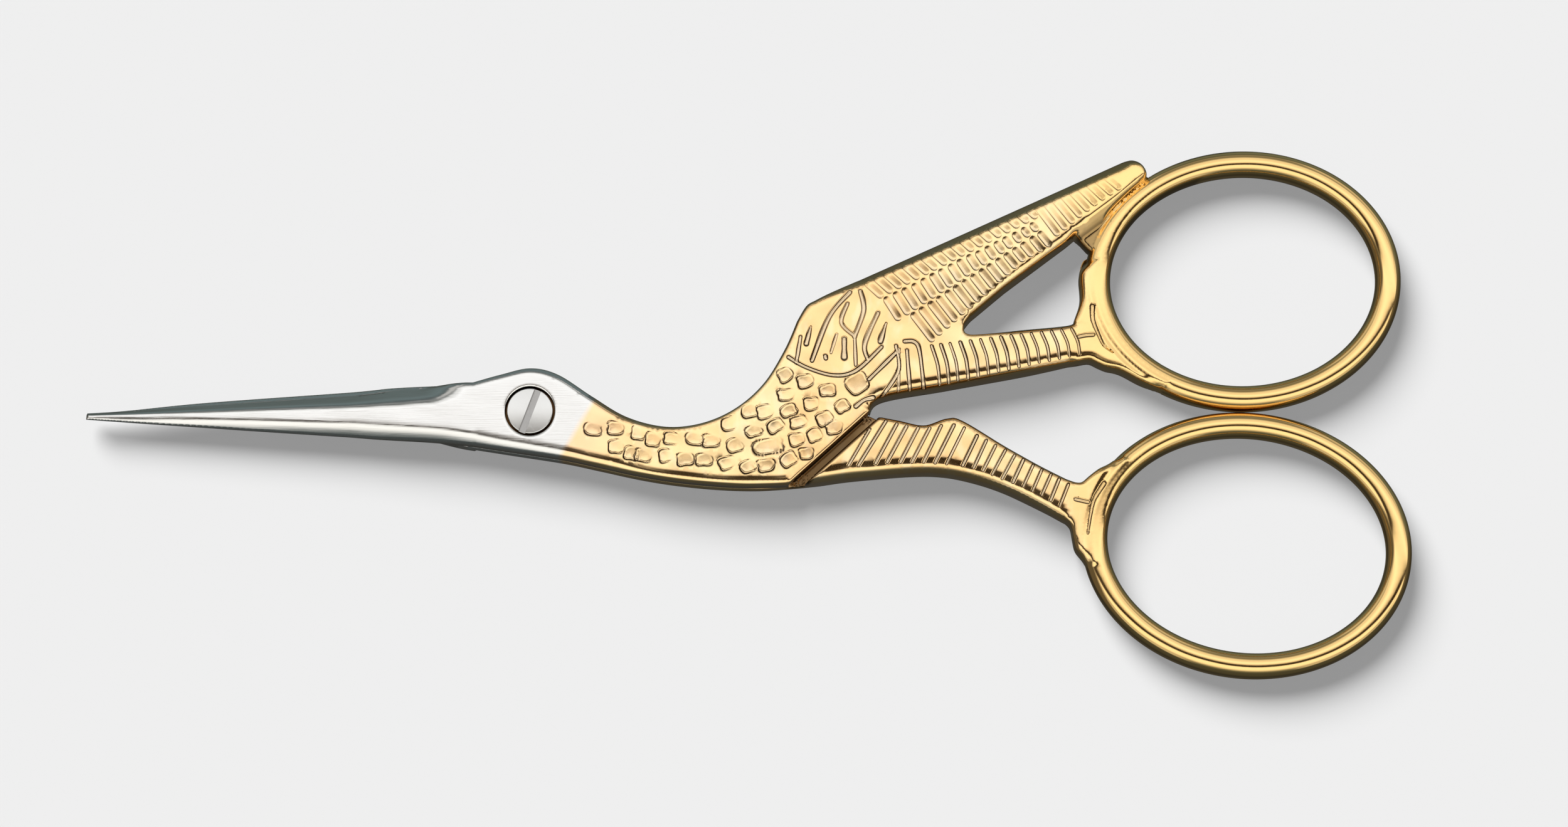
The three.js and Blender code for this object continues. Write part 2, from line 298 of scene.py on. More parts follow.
def turned(x, y, angle):
    """Points turned about the origin."""
    c, s = math.cos(angle), math.sin(angle)
    return np.column_stack([x * c - y * s, x * s + y * c])


def ring_point(ring, angle, stand_off):
    """Points near a ring's bar: angles round it and distances out from its outer edge."""
    turn, lean = np.radians(angle), math.radians(ring["lean"])
    x = (ring["long"] / 2 + ring["bar"] + stand_off) * np.cos(turn)
    y = (ring["short"] / 2 + ring["bar"] + stand_off) * np.sin(turn)
    return np.column_stack([ring["x"] + x * math.cos(lean) - y * math.sin(lean),
                            ring["y"] + x * math.sin(lean) + y * math.cos(lean)])


def stand_off(ring, xy):
    """How far out from the ring's outer edge points lie, found by halving."""
    u, v = turned(xy[:, 0] - ring["x"], xy[:, 1] - ring["y"], -math.radians(ring["lean"])).T
    low, high = np.full(len(xy), -6.0), np.full(len(xy), 90.0)
    for _ in range(34):
        middle = (low + high) / 2
        wide = (u / (ring["long"] / 2 + ring["bar"] + middle)) ** 2
        out = wide + (v / (ring["short"] / 2 + ring["bar"] + middle)) ** 2 > 1
        low, high = np.where(out, middle, low), np.where(out, high, middle)
    return low


def bar_rise(ring, xy):
    """Half height of the ring's rounded bar over points, 0 outside it."""
    across = np.abs(2 * stand_off(ring, xy) / ring["bar"] + 1)
    fullness = 2.35
    return ring["high"] * np.clip(1 - across**fullness, 0, None) ** (1 / fullness)


def melted(a, b, away):
    """The higher of two surfaces, with a small fillet where both stand up within the outline."""
    width = 0.35 * smooth_step((np.minimum(a, b) - 0.2) / 1.0) * smooth_step(away / 0.6) + 1e-6
    near = np.clip(width - np.abs(a - b), 0, None) / width
    return np.maximum(a, b) + near**2 * width / 4


# Sizes in millimetres, from the middle plane and the pivot: half the gap between the halves,
# the outlines they share, both cutting edges, both grooves and the upper ring.
half_gap, half_thick = 0.05, 2
crown_and_back = [
    (-5, 2.6), (-2.6, 3.3), (0, 3.88), (2.4, 3.32), (5.4, 1.37), (8.4, -0.43), (11.8, -1.31),
    (15, -0.98), (17.9, 0.34), (20.3, 2.5), (22.1, 5.45), (23.2, 8),
]
throat_and_breast = [
    (-5, -2.88), (-1.5, -3.42), (2.9, -4.1), (6, -4.76), (9.2, -5.47), (12.3, -6), (15.5, -6.35),
    (18.5, -6.53), (21, -6.5),
]
beak_top = [
    (-38.7, 0.17), (-35.34, 0.4), (-28.25, 1.14), (-15.69, 2.09), (-12.13, 2.42), (-8.03, 2.59),
    (-5, 2.6),
]
beak_bottom = [
    (-38.7, -0.49), (-33.7, -0.87), (-28.2, -1.26), (-24.6, -1.52), (-15.6, -2.13),
    (-13.1, -2.31), (-8, -2.58), (-5, -2.88),
]
front_edge = [
    (-38.7, 0.02), (-28.2, 0.8), (-15.7, 1.63), (-12, 2.09), (-9.1, 2.41), (-7.2, 2.55), (-5, 2.6),
]
rear_edge = [
    (-38.7, -0.34), (-28.2, -0.88), (-15.7, -1.69), (-12, -1.95), (-9.1, -2.25), (-7.2, -2.55),
    (-5, -2.88),
]
groove_low, groove_high = (22.45, -6.42), (29.5, 0)
rear_groove_low, rear_groove_high = (29.4, 0.35), (24.4, 9.53)
upper_ring = {
    "x": 62.2, "y": 11.845, "long": 23.2, "short": 18.7, "bar": 2.25, "lean": 2.5, "high": 1.45,
}


def breast_reach(line):
    """How wide the rounding of the blade's back, throat and breast is along them."""
    x = [-38.7, -36, -26.5, -15.6, -7.4, -3, 0, 6, 10.8, 22]
    return np.interp(line[:, 0], x, [0.25, 0.48, 1.02, 1.38, 1.3, 1.05, 0.98, 0.82, 0.66, 0.66])


def on_leg(leg, rows):
    """Points of a leg from shares of its length and their y."""
    start, near_ring = leg
    return [(start + (near_ring - start) * share, y) for share, y in rows]


def blade_land(xy, edge_line, towards_edge):
    """Height of a ground blade above its inner face: land, hollow bevel, and scoop by the head."""
    x = xy[:, 0]
    land = np.interp(x, [-38.7, -9.5], [0.5, 1.95])
    reach = np.interp(x, [-38.7, -28, -20, -15.6, -11.5, -8.2, -6.3, -5.3],
                      [0.22, 0.9, 1.25, 1.48, 1.85, 2.0, 1.5, 0.8])
    behind = towards_edge * (np.interp(x, *np.array(edge_line).T) - xy[:, 1])
    share = np.clip(behind / reach, 0, 1)
    ground = (land - 0.04) * (1 - smooth_step((x + 9.5) / 4.1))
    return land - ground * np.where(share < 0.46, 1 - 1.37 * share, 1.269 * (1 - share) ** 2)


def blade_points(top, bottom, edge_line, towards_edge):
    """Rows of points across a blade, closer together on its bevel and on its rounded back."""
    rows = []
    for x in np.arange(-38.5, -4.9, 0.27):
        high = np.interp(x, *np.array(top).T)
        low = np.interp(x, *np.array(bottom).T)
        edge = np.interp(x, *np.array(edge_line).T)
        back = low if towards_edge > 0 else high
        bevel = np.interp(x, [-38.7, -28, -15.6, -9.5, -5], [0.22, 0.9, 1.48, 1.95, 1.95])
        shares = (0.1, 0.24, 0.38, 0.46, 0.54, 0.62, 0.71, 0.8, 0.9, 1.0, 1.1)
        y = [edge - towards_edge * (bevel * share) for share in shares]
        steps = (0.03, 0.08, 0.15, 0.24, 0.35, 0.48, 0.62, 0.78, 0.95, 1.15)
        y += [back + towards_edge * step for step in steps]
        y += list(np.arange(low + 0.2, high - 0.1, 0.33))
        rows += [(x, value) for value in y if low + 0.02 < value < high - 0.02]
    return np.array(rows)


def edge_rows(outline, ring):
    """Rows of points that follow the outline inwards, away from blade and bar, and their gaps."""
    ahead = np.roll(outline, -1, axis=0)[:, :2] - np.roll(outline, 1, axis=0)[:, :2]
    inward = np.column_stack([-ahead[:, 1], ahead[:, 0]]) / np.linalg.norm(ahead, axis=1)[:, None]
    rows = []
    for away, gap in ((0.02, 0.014), (0.06, 0.028), (0.12, 0.04), (0.19, 0.05), (0.27, 0.055),
                      (0.36, 0.06), (0.46, 0.07), (0.56, 0.07), (0.66, 0.07), (0.76, 0.07),
                      (0.87, 0.08), (1.0, 0.1), (1.15, 0.12), (1.3, 0.14)):
        row = (outline[:, :2] + inward * away)[:: 2 if away > 0.35 else 1]
        row = row[(row[:, 0] > -5) & (bar_rise(ring, row) < 1)]
        rows.append((row[from_outline(row, outline)[0] > away * 0.93], gap))
    return rows


def ring_rows(ring, count):
    """Rows of points round a ring's bar."""
    angle = np.arange(count) * 360 / count
    rows = []
    for share in (0.02, 0.06, 0.12, 0.2, 0.3, 0.42, 0.56, 0.72, 0.9):
        for out in (share, ring["bar"] - share):
            rows.append(ring_point(ring, angle, -out))
    return np.vstack([*rows, ring_point(ring, angle, -ring["bar"] / 2)])


def thinned(kept, fresh, gap):
    """The fresh points that keep a gap from each other and from those already there."""
    if not len(fresh):
        return fresh
    first = np.unique(np.round(fresh / gap).astype(int), axis=0, return_index=True)[1]
    fresh = fresh[np.sort(first)]
    tree = kdtree.KDTree(len(kept))
    for i, (x, y) in enumerate(kept):
        tree.insert((x, y, 0), i)
    tree.balance()
    return fresh[[tree.find((x, y, 0))[2] > gap for x, y in fresh]]


# Depth of a cut that counts as full, and half the width of a scale's groove
full_depth, groove_half = 0.12, 0.085


def line_mark(line, wide, deep, flat, pointed=0.0, struck=0.0):
    """A mark along a line, with a flat share of its width; pointed swells it towards its end."""
    return {"line": line, "half": wide / 2, "deep": deep, "flat": flat, "pointed": pointed,
            "struck": struck, "uneven": 0.0}


def cut_mark(points, wide, deep, pointed=0.0):
    """A graver's cut along a line."""
    return line_mark(through(points, 0.14), wide, 1.25 * deep, 0.42, pointed)


def half_width(mark, share):
    """Half the width of a cut at a share of its length."""
    swell = 1 - mark["pointed"] * (1 - share)
    wave = 3 * math.cos(40 * mark["line"][0, 0]) + 7 * share
    return mark["half"] * swell * (1 + mark["uneven"] * np.sin(wave))


def scale_punch(place, size, turn, deep, tilt, even):
    """A punched scale: a fine groove round a sunk floor, deeper on the side it was tilted to."""
    return {"at": place, "size": size, "turn": turn, "deep": deep, "tilt": tilt, "even": even}


def line_distance(xy, line):
    """Distance from a line of points, and the share of its length where it is nearest."""
    away, nearest, share = nearest_step(xy, line[:-1], np.diff(line, axis=0))
    return away, (nearest + share) / (len(line) - 1)


def scale_ripple(mark, turn):
    """How far a scale's outline wanders in or out of its rounded square."""
    start = 50 * mark["at"][0]
    return 0.03 * np.sin(3 * turn + start) + 0.015 * np.sin(5 * turn + 2.3 * start)


def mark_depth(xy, mark):
    """Depth of one mark under points near it, and how much of its wall is there."""
    if "at" in mark:
        x, y = mark["at"]
        u, v = turned(xy[:, 0] - x, xy[:, 1] - y, -mark["turn"]).T
        wide, high = mark["size"]
        square = (np.abs(2 * u / wide) ** 4 + np.abs(2 * v / high) ** 4) ** 0.25
        out = (square - 1) * min(wide, high) / 2
        out = out - scale_ripple(mark, np.arctan2(v / high, u / wide))
        towards = u / wide * math.cos(mark["tilt"]) + v / high * math.sin(mark["tilt"])
        lean = np.clip(mark["even"] + 1.3 * towards, 0.0, 1.1)
        groove = smooth_step((groove_half - np.abs(out)) / 0.08)
        floor = 0.42 * lean * smooth_step(-out / 0.14)
        # Groove walls drawn brown, most on the side struck deeper: dirt in the cut and painted
        # shade.
        return mark["deep"] * np.maximum(groove * lean, floor), 0.62 * groove * lean
    away, share = line_distance(xy, mark["line"])
    half = half_width(mark, share)
    inner = np.clip((half - away) / (half * (1 - mark["flat"])), 0, 1)
    deep, strong = mark["deep"], 1.0
    if mark["struck"]:
        aside = beyond(xy, mark["line"][0], mark["line"][-1])
        deep = deep * np.clip(0.5 + 0.5 * aside / half, 0, 1) * (1 - mark["struck"] * (1 - share))
        strong = 1.4
    # Walls drawn brown, strongest mid-wall and where deeper: dirt in the cut and painted shade.
    return deep * smooth_step(inner), strong * 4 * inner * (1 - inner) * deep / full_depth


def mark_box(mark):
    """The lower left and upper right corners of a box round one mark."""
    if "at" in mark:
        reach = max(mark["size"]) * 0.75 + 0.3
        return np.array([mark["at"]] * 2) + [[-reach], [reach]]
    line, half = mark["line"], mark["half"]
    return np.array([line.min(0) - half - 0.1, line.max(0) + half + 0.1])


def carved(xy, marks):
    """Depth of all the marks under points, and how much of a wall is there."""
    depth, wall = np.zeros(len(xy)), np.zeros(len(xy))
    for mark in marks:
        low, high = mark_box(mark)
        near = np.flatnonzero(((xy > low) & (xy < high)).all(1))
        if len(near):
            deep, side = mark_depth(xy[near], mark)
            wall[near] = np.where(deep > depth[near], side, wall[near])
            depth[near] = np.maximum(depth[near], deep)
    return depth, wall


def mark_points(mark):
    """Points that follow the walls and the floor of one mark."""
    if "at" in mark:
        turns = np.linspace(0, 2 * math.pi, 34, endpoint=False)
        c, s = np.cos(turns), np.sin(turns)
        wide, high = mark["size"]
        reach = 1 / (np.abs(c) ** 4 + np.abs(s) ** 4) ** 0.25
        u, v = c * reach * wide / 2, s * reach * high / 2
        ripple = scale_ripple(mark, np.arctan2(v / high, u / wide))
        rows = []
        for out in (0.0, groove_half, -groove_half, 0.042, -0.042, 0.15, -0.18):
            k = 1 + 2 * (out + ripple) / min(wide, high)
            rows.append(turned(u * k, v * k, mark["turn"]))
        return np.array(mark["at"]) + np.vstack(rows)
    line = mark["line"]
    ahead = np.gradient(line, axis=0)
    ahead /= np.linalg.norm(ahead, axis=1)[:, None]
    aside = np.column_stack([-ahead[:, 1], ahead[:, 0]])
    share = np.linspace(0, 1, len(line))[:, None]
    half = half_width(mark, share)
    flat, outside = mark["flat"], 1.22
    rows = []
    for width in (1.0, flat, (1 + flat) / 2, outside, 0.0):
        wall = half + 0.06 if width == outside else half * width
        room_for = (half * (1 - flat) > 0.07)[:, 0] | (width in (1.0, outside, 0.0))
        rows += [(line + aside * wall)[room_for], (line - aside * wall)[room_for]]
        for end, onwards, k in ((line[0], -ahead[0], half[0]), (line[-1], ahead[-1], half[-1])):
            for turn in (-60, -30, 0, 30, 60):
                rows.append(end + turned(*onwards, math.radians(turn)) * k * width)
    return np.vstack(rows)


def sheet_over(loops, points, solid_at):
    """Triangles over a plan whose edges are the loops, where they aren't buried in another."""
    flat, edges = [], []
    for loop, bare in loops:
        start, count = len(flat), len(loop)
        flat += [Vector((x, y)) for x, y in loop[:, :2]]
        pairs = [(i, (i + 1) % count) for i in range(count)]
        edges += [(start + i, start + j) for i, j in pairs if bare[i] or bare[j]]
    flat += [Vector((x, y)) for x, y in points]
    made = geometry.delaunay_2d_cdt(flat, edges, [], 0, 1e-6)
    xy = np.array([tuple(v) for v in made[0]])
    triangles = np.array([f for f in made[2] if len(f) == 3])
    a, b, c = (xy[triangles[:, i]] for i in range(3))
    (ux, uy), (vx, vy) = (b - a).T, (c - a).T
    clockwise = ux * vy < uy * vx
    triangles[clockwise] = triangles[clockwise][:, ::-1]
    return xy, triangles[solid_at((a + b + c) / 3)]


def open_edges(triangles, count):
    """Edges with a triangle on one side only, in that triangle's order."""
    edges = np.vstack([triangles[:, [0, 1]], triangles[:, [1, 2]], triangles[:, [2, 0]]])
    return edges[~np.isin(edges[:, 0] * count + edges[:, 1], edges[:, 1] * count + edges[:, 0])]


def pick(piece):
    """Makes a piece the active one and the only one selected."""
    bpy.ops.object.select_all(action="DESELECT")
    piece.select_set(True)
    bpy.context.view_layer.objects.active = piece


def forging(name, upper, lower):
    """A solid piece from its upper and lower faces, walled round its edges."""
    top, top_faces, upper_z, upper_carving = upper
    low, low_faces, lower_z, lower_carving = lower
    rim = open_edges(top_faces, len(top))
    place = {tuple(p): i for i, p in enumerate(np.round(low, 3).tolist())}
    below = {i: place[tuple(np.round(top[i], 3).tolist())] for i in np.unique(rim)}
    count = len(top)
    renumber = np.arange(count, count + len(low))
    for i, j in below.items():
        if upper_z[i] - lower_z[j] < 0.03:
            upper_z[i] = (upper_z[i] + lower_z[j]) / 2
            renumber[j] = i
    faces = top_faces.tolist() + renumber[low_faces][:, ::-1].tolist()
    for i, j in rim.tolist():
        corners = [j, i, int(renumber[below[i]]), int(renumber[below[j]])]
        corners = list(dict.fromkeys(corners))
        if len(corners) > 2:
            faces.append(corners)
    points = np.vstack([np.column_stack([top, upper_z]), np.column_stack([low, lower_z])])
    points[:, 2] += half_thick
    mesh = bpy.data.meshes.new(name)
    mesh.from_pydata((points / 1000).tolist(), [], faces)
    for label, values in zip(("carving", "grime_and_shade"), np.vstack([upper_carving, lower_carving]).T):
        attribute = mesh.attributes.new(label, "FLOAT", "POINT")
        attribute.data.foreach_set("value", values.astype(np.float32))
    piece = bpy.data.objects.new(name, mesh)
    bpy.context.scene.collection.objects.link(piece)
    pick(piece)
    bpy.ops.object.mode_set(mode="EDIT")
    bpy.ops.mesh.select_all(action="SELECT")
    bpy.ops.mesh.delete_loose()
    bpy.ops.object.mode_set(mode="OBJECT")
    bpy.ops.object.shade_smooth_by_angle(angle=math.radians(60))
    return piece


def dressing(xy):
    """Slight waves left on the flats by filing and polishing by hand."""
    x, y = xy.T
    wave = np.sin(1.9 * x + 1.1 * y + 0.7) * np.sin(1.3 * y - 0.6 * x + 2.0)
    wave = wave + 0.8 * np.sin(0.9 * x - 1.7 * y + 1.2)
    filed = 0.01 * wave * smooth_step((x - 3) / 4) * (1 - 0.8 * smooth_step((x - 44) / 4))
    return filed + 0.004 * np.sin(0.8 * x + 2.1 * y) * smooth_step((-2 - x) / 6)


def hex_points(low, high, pitch):
    """Points of a triangular grid in a box."""
    rows = []
    for i, y in enumerate(np.arange(low[1], high[1], pitch * 0.866)):
        x = np.arange(low[0] + (i % 2) * pitch / 2, high[0], pitch)
        rows.append(np.column_stack([x, np.full(len(x), y)]))
    return np.vstack(rows)


def half_of_pair(name, plan, marks, up):
    """Builds a half from its plan. up is 1 for the front half and -1 for the rear half.

    Heights are worked out as if the half's dressed face looked up, and turned over at the end.
    """
    outline, ring, step = plan["outline"], plan["ring"], plan["step"]
    both_sides = [mark for mark in marks if plan["both_sides"](mark)]
    count = 440
    outer = ring_point(ring, np.arange(count) * 360 / count, 0.0)
    hole = ring_point(ring, np.arange(count) * 360 / count, -ring["bar"])
    turns = np.linspace(0, 2 * math.pi, 72, endpoint=False)
    bore = plan["bore"] * np.column_stack([np.cos(turns), np.sin(turns)])
    buried = inside(outline[:, :2], outer) & ~inside(outline[:, :2], hole)
    loops = [(outline, ~buried), (outer, ~inside(outer, outline)), (hole, np.ones(count, bool)),
             (bore, np.ones(len(bore), bool))]

    def solid_at(xy):
        body = inside(xy, outline) | (inside(xy, outer) & ~inside(xy, hole))
        return body & ~inside(xy, bore)

    def rise(xy):
        """Heights before the marks, distances to the outline, and painted shade along bevels and
        bar.
        """
        away, edge = from_outline(xy, outline)
        body = inside(xy, outline) | (away < 1e-4)
        bar = bar_rise(ring, xy)
        over_bar = smooth_step(-stand_off(ring, xy) / 1.15) * (bar > 0)
        over_bar = over_bar * smooth_step(14.6 - xy[:, 1])
        plate = plan["crest"](xy) * (1 - over_bar) + bar * over_bar
        plate = np.where(body, plate - edge_drop(away, edge), 0)
        # Painted shade: the gold edge bevels are drawn darker, and so is the crease where the plate
        # sinks under the ring's bar.
        dark = 0.28 * smooth_step((edge[:, 3] - away) / 0.1) * (plate > bar) * (xy[:, 0] > 5)
        by_bar = 0.3 * smooth_step((1.15 - bar) / 0.5) * smooth_step((bar - plate) / 0.3)
        return melted(plate, bar, away) + dressing(xy), away, np.maximum(dark, by_bar)

    def face(cut_in, at_step, extra):
        """Triangles of a face, with points along its edges, marks and blade, and evenly between."""
        points = [np.vstack([outline[:, :2], outer, hole, bore])]
        solid = lambda xy: xy[solid_at(xy)]

        def add(fresh, gap, clear=0):
            if clear:
                fresh = fresh[from_outline(fresh, outline)[0] > clear]
            points.append(thinned(np.vstack(points), fresh, gap))

        add(extra, 0.008)
        add(solid(at_step), 0.015)
        add(solid(np.vstack([mark_points(mark) for mark in cut_in])), 0.03, 0.045)
        for row, gap in edge_rows(outline, ring):
            add(row, gap)
        add(ring_rows(ring, count), 0.03, 0.03)
        add(solid(blade_points(beak_top, beak_bottom, plan["edge_line"], up)), 0.03)
        for centre, reach in plan["joints"]:
            spot = hex_points(np.array(centre) - reach, np.array(centre) + reach, 0.13)
            add(solid(spot[np.hypot(*(spot - centre).T) < reach]), 0.07, 0.06)
        add(solid(hex_points(outline[:, :2].min(0), outline[:, :2].max(0), 0.42)), 0.2, 0.1)
        return sheet_over(loops, np.vstack(points[1:]), solid_at)

    def in_the_round(sheet, own):
        """A face with heights, cut depths, and its dirt and painted shade. The lap side isn't own.
        """
        xy, triangles = sheet
        high, away, dark = rise(xy)
        bar = bar_rise(ring, xy)
        depth, wall = carved(xy, marks if own else both_sides)
        fade = smooth_step(away / 0.12)
        # Painted shade in the valley under the wing's web, fading out up the ring's bar, joined to
        # the painted shade along bevels and bar.
        painted_shade = np.maximum(dark, plan["painted_shade"](xy) * smooth_step((1.3 - bar) / 0.5))
        depth, wall = depth * fade, np.maximum(wall * fade, painted_shade)
        if own:
            middle = np.hypot(*xy.T)
            high = np.maximum(high, half_gap + 0.03)
            if up > 0:
                high = high - 0.07 * np.clip((2.34 - middle) / 0.17, 0, 1) ** 2
                high = np.where(middle < seat_radius, seat_floor, high)
                # Painted shade: the counterbore round the screw head is drawn dark brown, the shade
                # of the gap.
                wall = np.maximum(wall, np.clip((2.2 - middle) / 0.04, 0, 1))
            else:
                high = high - 0.05 * np.clip((plan["bore"] + 0.08 - middle) / 0.08, 0, 1)
            high = high - depth
        else:
            past = beyond(xy, *step)
            strip = np.interp(xy[:, 0], [-38.7, -28.2, -15.7, -9, -6.5], [0.16, 0.33, 0.46, 0.2, 0])
            lap = half_gap + 0.05 * np.clip(1 - away / 0.1, 0, 1) ** 2
            on_back = up * (xy[:, 1] - np.interp(xy[:, 0], [-38.7, -5], [-0.16, 0])) < 0
            lap = lap + np.where(on_back, 1.1 * np.clip(strip - away, 0, None), 0)
            far = -(high - depth) + 0.25 * np.clip(1 - past / 0.25, 0, 1) ** 2
            # Painted shade: the floor of the groove along the step is drawn dark brown.
            in_step = np.clip(1 - np.abs(past + 0.35) / 0.75, 0, 1) * (bar < 0.01)
            wall = np.maximum(wall, np.minimum(0.46, 1.5 * in_step))
            file_marks = 0.022 * (1 + np.cos(10 * math.pi * past)) * np.minimum(1, 6 * in_step)
            high = np.where((past > 0) | (bar > 0), far, lap) + file_marks * (past < -0.03)
        return xy, triangles, high * up, np.column_stack([depth / full_depth, wall])

    seat_radius, seat_floor = 2.155, 1.02
    radii = (1.7, 2.14, 2.17, 2.2, 2.26, 2.34, 2.5)
    near_bore = [radius / plan["bore"] for radius in radii] if up > 0 else [1.08]
    dressed = face(marks, np.empty((0, 2)), np.vstack([share * bore for share in near_bore]))
    along, aside = heading(*step)
    run = np.arange(-1, 20, 0.2)[:, None]
    sideways = (*np.arange(-0.9, -0.05, 0.1), -0.02, 0.02, 0.07, 0.15, 0.26, 0.4)
    at_step = np.vstack([step[0] + run * along + aside * off for off in sideways])
    lapped = face(both_sides, at_step, 1.15 * bore)
    sides = in_the_round(dressed, True), in_the_round(lapped, False)
    return forging(name, *sides[::up])


# Knuckle: angles round the ring, and distances out from it. Leg: its x at both ends.
knuckle_below = np.array([
    (207.6, 2.9), (209.1, 2), (211.9, 1.6), (214.7, 1.25), (219.1, 0.6), (228.3, 0.2), (238, -0.15),
])
knuckle_above = np.array([(166.8, -0.1), (169, 0.35), (176, 0.5), (185.6, 0.55), (193.6, 1.6)])
upper_leg = (groove_high[0], 48.35)
wing_start = ring_point(upper_ring, 128.6, -0.5)[0]
wing_end = ring_point(upper_ring, 127.6, 2.27)[0]
wing_middle = (wing_start + wing_end) / 2
wing_half = np.linalg.norm(wing_start - wing_end) / 2
wing_turn = math.atan2(*(wing_start - wing_middle)[::-1])
wing_tip = [wing_start]
for share in (0.15, 0.32, 0.5, 0.68, 0.85):
    bulge = wing_half + (1.05 - wing_half) * math.sin(math.pi * share)
    turn = wing_turn + math.pi * share
    wing_tip.append(wing_middle + bulge * np.array([math.cos(turn), math.sin(turn)]))
wing_tip.append(wing_end)
in_bar = ring_point(upper_ring, np.linspace(knuckle_below[-1, 0], knuckle_above[0, 0], 30), -1.24)
leg_bottom = [(0, 0), (0.058, 1.25), (0.355, 2.28), (0.743, 3.62), (0.918, 4.3)]
underside = through(on_leg(upper_leg, leg_bottom))
web_inside = ring_point(upper_ring, np.linspace(165.2, 128.6, 24), np.linspace(-0.9, -0.5, 24))
below_line = through(ring_point(upper_ring, *knuckle_below.T))
above_line = through(ring_point(upper_ring, *knuckle_above.T))
topside = through([above_line[-1], *on_leg(upper_leg, [(0.913, 7.7), (0.663, 7.15)])])
fork = [(0.663, 7.15), (0.467, 6.8), (0.438, 7.55), (0.464, 8.35)]
fork = through(on_leg(upper_leg, fork), 0.15)
wing_below = straight([*on_leg(upper_leg, [(0.464, 8.35), (0.631, 11)]), (47.5, 15.6)])
web = through([(47.5, 15.6), (48.1, 14.95), (48.8, 14.25), web_inside[0]])
wing_round = through(wing_tip, 0.18)
wing_corner = (28.6, 11.72)
wing_top = straight([wing_end, wing_corner])
wing_front = through([wing_corner, (26.4, 10.7), (24.8, 9.87), (24, 9.35), (23.2, 8)])
beak_back = through(beak_bottom, 0.18)
breast = through([*throat_and_breast, groove_low])
front_outline = closed([
    edged(beak_back, breast_reach(beak_back), 0.4, [0.1, 0.2]),
    edged(breast, breast_reach(breast), 0.4, 0.25, 0, [0.1, 0.15]),
    edged(straight([groove_low, groove_high]), 0.3, 0.6, 0.15),
    edged(underside, [0.75, 0.95], 0.5, 0.4, 0, 0.16),
    edged(below_line, [0.62, 0.5, 0.3], 0.4, [0.25, 0.3, 0.6, 1.05], 0, [0.16, 0.1, 0]),
    edged(in_bar, 0, 0, 0),
    edged(above_line, 0.3, 0.4, [1.05, 0.8, 0.4]),
    edged(topside, 0, 0, 0.2, 0.3),
    edged(fork, [0, 0, 0.6], 0.5, 0.3, [0.3, 0, 0]),
    edged(wing_below, 0.85, 0.55, 0.35),
    edged(web, 0.4, 0.5, 0.5),
    edged(web_inside, 0.5, 0.4, [0.4, 0.9, 0.95]),
    edged(wing_round, [0.85, 0.4, 0, 0], 0.5, [0.95, 0.4, 0.3, 0.3], [0, 0, 0.4, 0.75]),
    edged(wing_top, 0, 0, 0.2, [0.75, 0.75, 0.75, 0.6]),
    edged(wing_front, 0, 0, 0.15, [0.6, 0.3, 0.22]),
    edged(through(crown_and_back[::-1]), 0, 0, 0.15, [0.22, 0.2, 0.22, 0.4, 0.45, 0.3]),
    edged(through(front_edge[::-1], 0.33), 0, 0, [0.15] + [0.01] * 6, [0.3] + [0] * 6),
])
front_outline = split_by(front_outline, rear_groove_low, rear_groove_high)


def web_valley(xy):
    """Depth of the valley between the wing's lower edge and the ring."""
    x, y = xy.T
    below = (x - 41.4) * 0.602 - (y - 11) * 0.798
    deep = 0.95 * smooth_step((below + 0.75) / 1.5) * smooth_step((x - 46.7) / 1.1)
    return deep * (1 - smooth_step((below - 2.2) / 0.8))


def front_crest(xy):
    """Height of the front half's face above the middle plane, before its edges and marks."""
    x, y = xy.T
    blade = half_gap + blade_land(xy, front_edge, 1)
    thinner = 0.45 * smooth_step((x - 42) / 6) * smooth_step(10.2 + 0.576 * (x - 41.4) - y)
    return np.where(x < -5.2, blade, half_thick - thinner - web_valley(xy))


hand = np.random.default_rng(7)


def wobble(amount):
    return float(hand.uniform(-amount, amount))


def on_wing(s, h):
    """Point of the wing: along its top edge, and square down from it."""
    c, n = math.cos(math.radians(24.6)), math.sin(math.radians(24.6))
    return (wing_corner[0] + s * c + h * n, wing_corner[1] + s * n - h * c)


def strike_feather(top, bottom, wide=0.73, deep=0.1, struck=0.4):
    """Adds a sunk cell of a feather, deepest along its left side and towards its lower end."""
    line = straight([on_wing(*top), on_wing(*bottom)], 0.14)
    feathers.append(line_mark(line, wide, deep, 0.7, struck=struck))


# Wing: three rows of sunk feather cells, then long shallow ribs towards the tip
feathers = []
for i in range(20):
    s = 1.16 + 0.895 * i + wobble(0.04)
    low = 2.35 - 0.052 * s
    if s < 16.6:
        strike_feather((s - 0.43 * (low - 0.75), 0.75), (s - 0.1, low - 0.22), 0.72, 0.07, 0.5)
for j in range(-3, 14):
    s = 4.14 + 0.9 * j + wobble(0.04)
    high, low = 2.62 - 0.049 * s + wobble(0.05), 5.0 - 0.152 * s
    strike_feather((s, high + 0.25), (s + 0.1 * (low - high), low - 0.25))
for j in range(16):
    s = 2.99 + 0.875 * j + wobble(0.04)
    high = 5.2 - 0.148 * s
    low = 8.35 - 0.3 * s if s < 14 else np.interp(s, [14, 15.7, 17.4, 19.2], [4.25, 4.1, 3.8, 3.3])
    strike_feather((s, high + 0.25), (s + 0.2 * (low - high), low))
for j in range(9):
    s = 17.3 + 0.83 * j
    low = np.interp(s, [17.4, 19.2, 21, 22.6, 24.2], [3.7, 3.2, 2.7, 2.4, 2.2])
    strike_feather((s - 0.45, 0.85), (s + 0.1, low - 0.2), 0.66, 0.095 - 0.004 * j, 0.8)

